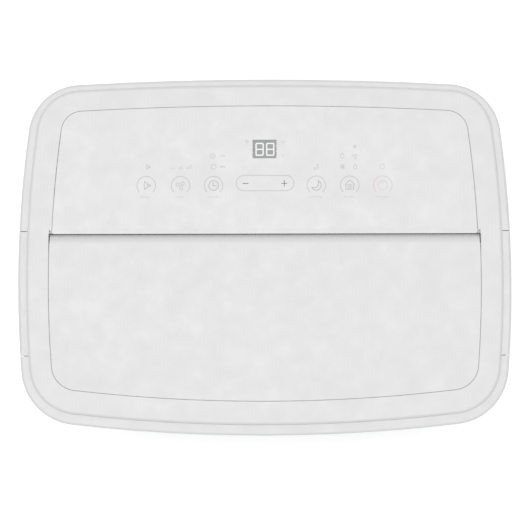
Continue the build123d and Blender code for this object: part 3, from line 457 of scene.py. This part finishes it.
def moon_icon(p, w):
    outer = [turned(4.3, a) for a in range(-155, 66, 13)]
    inner = [turned(4.1, 34 - 13.2 * i, (-2.0, 1.9)) for i in range(12)]
    p.line(outer + inner, w, closed=True)


def house_icon(p, w):
    p.line([(-4.3, 0.4), (-1.2, 3.6), (0, 4.2), (1.2, 3.6), (4.3, 0.4)], w)
    p.line([(-3.3, 0.9), (-3.4, -3.4), (3.4, -3.4), (3.3, 0.9)], w)
    p.arc(2.0, 0, 180, w, (0, -1.2), 16)
    p.line([(-0.9, -3.3), (-0.9, -1.4), (0, -0.7), (0.9, -1.4), (0.9, -3.3)], w)


def power_icon(p, w):
    p.arc(4.1, 124, 416, w)
    p.line([(0, 1.3), (0, 4.7)], w)
    p.line([(-1.5, 3.0), (-1.5, 4.4)], w)
    p.line([(1.5, 3.0), (1.5, 4.4)], w)


def drop_icon(p, w):
    half = [(1.5, 0.1), (1.6, -0.9), (0.9, -1.9)]
    p.line([(0, 2.4)] + half + [(0, -2.2)] + [(-x, y) for x, y in half[::-1]], w, closed=True)


def sun_icon(p, w):
    p.arc(1.0, 0, 360, w + 0.3, steps=14)
    for i in range(8):
        p.line([turned(1.7, 45 * i), turned(2.4, 45 * i)], w)


def flake_icon(p, w):
    for i in range(3):
        x, y = turned(2.3, 30 + 60 * i)
        p.line([(-x, -y), (x, y)], w)


def wave_icon(p, w):
    p.line([(-2.4, -0.7), (-1.5, 0.5), (-0.6, -0.5), (0.4, 0.7), (1.3, -0.4), (2.4, 0.8)], w)


def bars_icon(p, level):
    """Three bars for the fan's speed; the ones above the level stay low."""
    for i in range(3):
        height = 0.9 + 0.8 * i if i <= level else 0.7
        p.line([(-1.8 + 1.8 * i, -2.0), (-1.8 + 1.8 * i, -2.0 + height * 1.6)], 0.55)


icons = Print(panel_top)
key_icons = (swing_icon, fan_icon, clock_icon, moon_icon, house_icon)
icon_strokes = (0.5, 0.4, 0.55, 0.55, 0.48)
for x, draw, stroke in zip(KEYS, key_icons, icon_strokes):
    draw(icons.place((x, KEY_Y)), stroke)
icons.piece("key_symbols", mid_ink)

# lamps stand in rows behind the keys
LAMP_Y, LAMP_Y2, LAMP_Y3 = 79.0, 88.5, 96.6
LAMP_R = 2.2

power = Print(panel_top)
power.place((KEYS[5], KEY_Y)).arc(KEY_R, RING_FROM, RING_TO, 0.6, steps=64)
power_icon(power, 0.5)
power.place((KEYS[5] - 0.4, LAMP_Y)).arc(LAMP_R, 0, 360, 0.5, steps=24)
power.piece("power_symbol", red_ink)

lamps = Print(panel_top)
swing_icon(lamps.place((-102.2, LAMP_Y), 0.62), 0.5)
for level, x in enumerate((-80.7, -73.2, -66.2)):
    bars_icon(lamps.place((x, LAMP_Y + 0.2)), level)
lamps.place((-44.6, LAMP_Y)).arc(LAMP_R, 0, 360, 0.45, steps=24)
wave_icon(lamps.place((-36.7, LAMP_Y)), 0.5)
lamps.place((-45.4, LAMP_Y2 + 0.1)).arc(LAMP_R + 0.1, 0, 360, 0.4, steps=24)
for x in (-0.7, 0.7):
    lamps.line([(x, -1.2), (x, 1.2)], 0.4)
wave_icon(lamps.place((-36.7, LAMP_Y2 + 0.1)), 0.45)
moon_icon(lamps.place((45.1, LAMP_Y), 0.55), 0.42)
sun_icon(lamps.place((68.2, LAMP_Y)), 0.5)
drop_icon(lamps.place((79.2, LAMP_Y)), 0.45)
drop_icon(lamps.place((68.0, LAMP_Y2)), 0.45)
fan_icon(lamps.place((79.0, LAMP_Y2 - 0.2), 0.6), 0.35)
flake_icon(lamps.place((79.0, LAMP_Y3)), 0.4)
lamps.place((-15.6, 99.6)).arc(2.4, 40, 140, 0.5, steps=12).arc(1.2, 40, 140, 0.5, steps=8)
lamps.line([(-0.35, 0.1), (0.35, 0.1)], 0.6)
lamps.piece("indicator_symbols", soft_ink)

# captions: rows of small marks that spell nothing
CAPTION_Y, CAPTION_WIDTHS = 52.5, (10.4, 6.0, 10.2, 10.8, 9.8, 12.0)
MARK_PITCH, MARK_HALF, MARK_REACH = 1.5, 0.75, 0.85
MARK_RISES = (0.55, -0.55, 0.0, 0.55, 0.0)
UNIT_X, UNIT_YS = 16.3, (99.8, 88.2)  # two tiny unit marks beside the display

captions = Print(panel_top)
for x, width in zip(KEYS, CAPTION_WIDTHS):
    captions.place((x, CAPTION_Y))
    for i in range(int(width / MARK_PITCH)):
        left = -width / 2 + MARK_PITCH * i + 0.2
        rise = MARK_RISES[i % len(MARK_RISES)]
        captions.line([(left, -MARK_HALF), (left, MARK_HALF)], 0.38)
        captions.line([(left, rise), (left + MARK_REACH, rise)], 0.34)
for y in UNIT_YS:
    captions.place((UNIT_X, y)).arc(0.42, 0, 360, 0.25, (-1.1, 0.9), 10).line([(0, -0.9), (0, 0.9)], 0.35)
    captions.line([(0, 0.9), (1.0, 0.9)], 0.35)
captions.piece("key_captions", faint_ink)

# ---- display digits -----------------------------------------------------------------------------
DIGIT_XS, DIGIT_Y = (-4.3, 5.0), 94.3
DIGIT_HALF_W, DIGIT_HALF_H = 3.1, 5.15
DIGIT_CUT, DIGIT_WAIST = 0.6, 0.25  # bevel at the corners, and the nick at half height

segments = ink("segment_white", (0.78, 0.785, 0.78), 0.4)
digits = Print(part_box("display_window")[1].z, film=0.06)
right_side = [
    (DIGIT_HALF_W - DIGIT_CUT, DIGIT_HALF_H),
    (DIGIT_HALF_W, DIGIT_HALF_H - 0.55),
    (DIGIT_HALF_W, 0.5),
    (DIGIT_HALF_W - DIGIT_WAIST, 0),
]
right_side += [(x, -y) for x, y in right_side[2::-1]]
outline = right_side + [(-x, -y) for x, y in right_side]
for x in DIGIT_XS:
    digits.place((x, DIGIT_Y)).line(outline, 1.15, closed=True)
    digits.line([(-2.7, 0), (2.7, 0)], 1.1)
digits.piece("display_digits", segments)

# ---- dust net -----------------------------------------------------------------------------------
NET_EDGE, NET_PITCH = 6 * MM, 2.4 * MM
THREAD_HALF, THREAD_THICK, NET_LIFT = 0.2 * MM, 0.12 * MM, 0.15 * MM

low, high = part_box("filter_screen")
middle = (low.y + high.y) / 2
net = bmesh.new()


def strip(x0, x1, y, z0, z1):
    """One thread of the net, as a flat ribbon."""
    points = ((x0, z0), (x1, z0), (x1, z1), (x0, z1))
    front = [net.verts.new((x, y - THREAD_THICK, z)) for x, z in points]
    back = [net.verts.new((x, y + THREAD_THICK, z)) for x, z in points]
    net.faces.new(front)
    net.faces.new(back[::-1])
    for i in range(4):
        net.faces.new((front[(i + 1) % 4], front[i], back[i], back[(i + 1) % 4]))


across = int((high.x - low.x - 2 * NET_EDGE) / NET_PITCH)
for i in range(1, across):
    x = low.x + NET_EDGE + i * NET_PITCH
    strip(x - THREAD_HALF, x + THREAD_HALF, middle, low.z + NET_EDGE, high.z - NET_EDGE)
upward = int((high.z - low.z - 2 * NET_EDGE) / NET_PITCH)
for i in range(1, upward):
    z = low.z + NET_EDGE + i * NET_PITCH
    strip(low.x + NET_EDGE, high.x - NET_EDGE, middle + NET_LIFT, z - THREAD_HALF, z + THREAD_HALF)
bmesh.ops.recalc_face_normals(net, faces=net.faces)
thread_mat = Shader("net_thread", (0.05, 0.055, 0.06), 0.6)
thread_mat.tint(thread_mat.noise(500, 3), 0.7, 1.4)
thread_mat.bump(thread_mat.noise(2000, 2), 0.02)
dust_net = add_object("dust_net", mesh_from(net, "dust_net", thread_mat))
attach(dust_net, "upper_grille")

# ---- studio -------------------------------------------------------------------------------------
FLOOR_HALF, FLOOR_GLOW = 14, 0.3
SKY_STRENGTH = 0.54
LIGHT_PLACE, LIGHT_AIM, LIGHT_SIZE, LIGHT_POWER = (-0.12, -0.1, 6.0), (0, 0, 0.5), 1.2, 142
# the camera looks down from RISE above the top and AHEAD of its middle
RISE, AHEAD, VIEW_WIDTH = 3.0, 0.1, 0.46375
AIM = Vector((0.0002, -0.0068, 0.690))
SENSOR = 36


def pale_floor():
    bm = bmesh.new()
    bmesh.ops.create_grid(bm, x_segments=1, y_segments=1, size=FLOOR_HALF)
    paper = Shader("floor_paper", (0.97, 0.97, 0.97), 0.9)
    paper.set("Emission Color", (1, 1, 1, 1))
    paper.set("Emission Strength", FLOOR_GLOW)
    paper.set("Specular IOR Level", 0.1)
    paper.tint(paper.noise(3, 2), 0.995, 1.005)
    add_object("floor", mesh_from(bm, "floor", paper))


def white_sky():
    world = bpy.data.worlds.new("studio")
    bpy.context.scene.world = world
    world.use_nodes = True
    background = world.node_tree.nodes["Background"]
    background.inputs["Color"].default_value = (1, 1, 1, 1)
    background.inputs["Strength"].default_value = SKY_STRENGTH


def facing(place, aim):
    """The rotation that points an object's -Z from its place to the aim."""
    return (Vector(aim) - Vector(place)).to_track_quat("-Z", "Y")


def softbox(name, place, aim, size, power):
    light = bpy.data.lights.new(name, "AREA")
    light.shape = "SQUARE"
    light.size = size
    light.energy = power
    obj = add_object(name, light)
    obj.location = place
    obj.rotation_mode = "QUATERNION"
    obj.rotation_quaternion = facing(place, aim)
    obj.visible_camera = False


def overhead_camera():
    camera = add_object("camera", bpy.data.cameras.new("camera"))
    bpy.context.scene.camera = camera
    camera.location = (0, -AHEAD, cad_box[1].z + RISE)
    camera.rotation_mode = "QUATERNION"
    camera.rotation_quaternion = facing(camera.location, AIM)
    camera.data.sensor_width = SENSOR
    camera.data.lens = SENSOR * (AIM - camera.location).length / VIEW_WIDTH
    camera.data.clip_end = 100


pale_floor()
white_sky()
softbox("top_light", LIGHT_PLACE, LIGHT_AIM, LIGHT_SIZE, LIGHT_POWER)
overhead_camera()
bpy.context.scene.view_settings.view_transform = "Standard"
